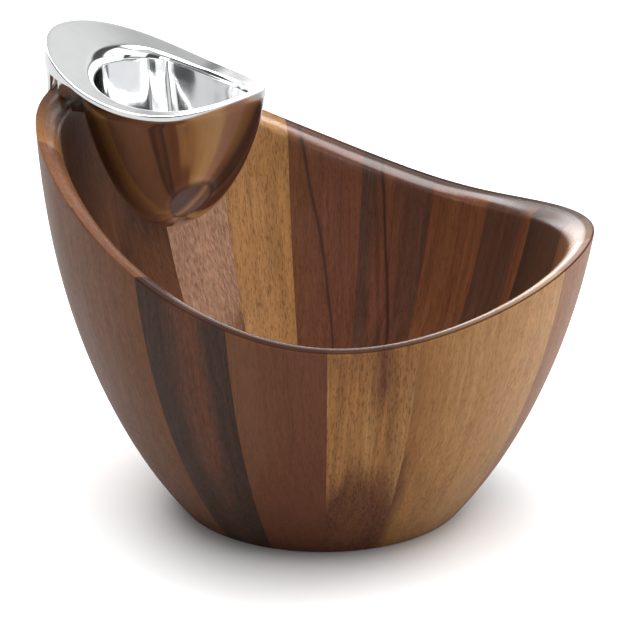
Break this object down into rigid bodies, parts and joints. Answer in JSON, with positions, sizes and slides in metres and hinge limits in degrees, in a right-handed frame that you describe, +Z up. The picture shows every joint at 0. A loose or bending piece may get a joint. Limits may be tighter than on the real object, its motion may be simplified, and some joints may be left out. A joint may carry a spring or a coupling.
{
  "type": "chip and dip server",
  "caption": "Deep coopered wooden chip bowl with a swooping saddle-shaped rim, and a polished metal dip bowl that hooks over the rim's high end and lifts off.",
  "frame": {"origin": "centre of the wooden bowl's flat underside, on the bowl's axis", "axes": "+Z up; -X towards the rim's high end and the dip bowl, so +X towards the low peak; XZ is the plane of symmetry"},
  "size_m": [0.2819, 0.2711, 0.241],
  "materials": {
    "acacia_brown": "satin lacquer",
    "acacia_dark_brown": "satin lacquer",
    "acacia_red_brown": "satin lacquer",
    "acacia_golden": "satin lacquer",
    "acacia_tan": "satin lacquer",
    "acacia_near_black": "satin lacquer",
    "cast_alloy": "mirror polished"
  },
  "bodies": {
    "wood_bowl": {"stave_01": "acacia_brown", "stave_02": "acacia_dark_brown", "stave_03": "acacia_red_brown", "stave_04": "acacia_golden", "stave_05": "acacia_golden", "stave_06": "acacia_tan", "stave_07": "acacia_brown", "stave_08": "acacia_brown", "stave_09": "acacia_near_black", "stave_10": "acacia_red_brown", "stave_11": "acacia_brown", "stave_12": "acacia_red_brown", "stave_13": "acacia_brown", "stave_14": "acacia_golden", "stave_15": "acacia_tan", "stave_16": "acacia_near_black", "stave_17": "acacia_brown", "stave_18": "acacia_dark_brown", "stave_19": "acacia_tan", "base_disc": "acacia_brown"},
    "dip_bowl": {"dip_bowl": "cast_alloy"}
  },
  "joints": [
    {"name": "dip_bowl_lift", "type": "slide", "parent": "wood_bowl", "child": "dip_bowl", "axis": [0, 0, 1], "range_m": [0, 0.11]}
  ]
}
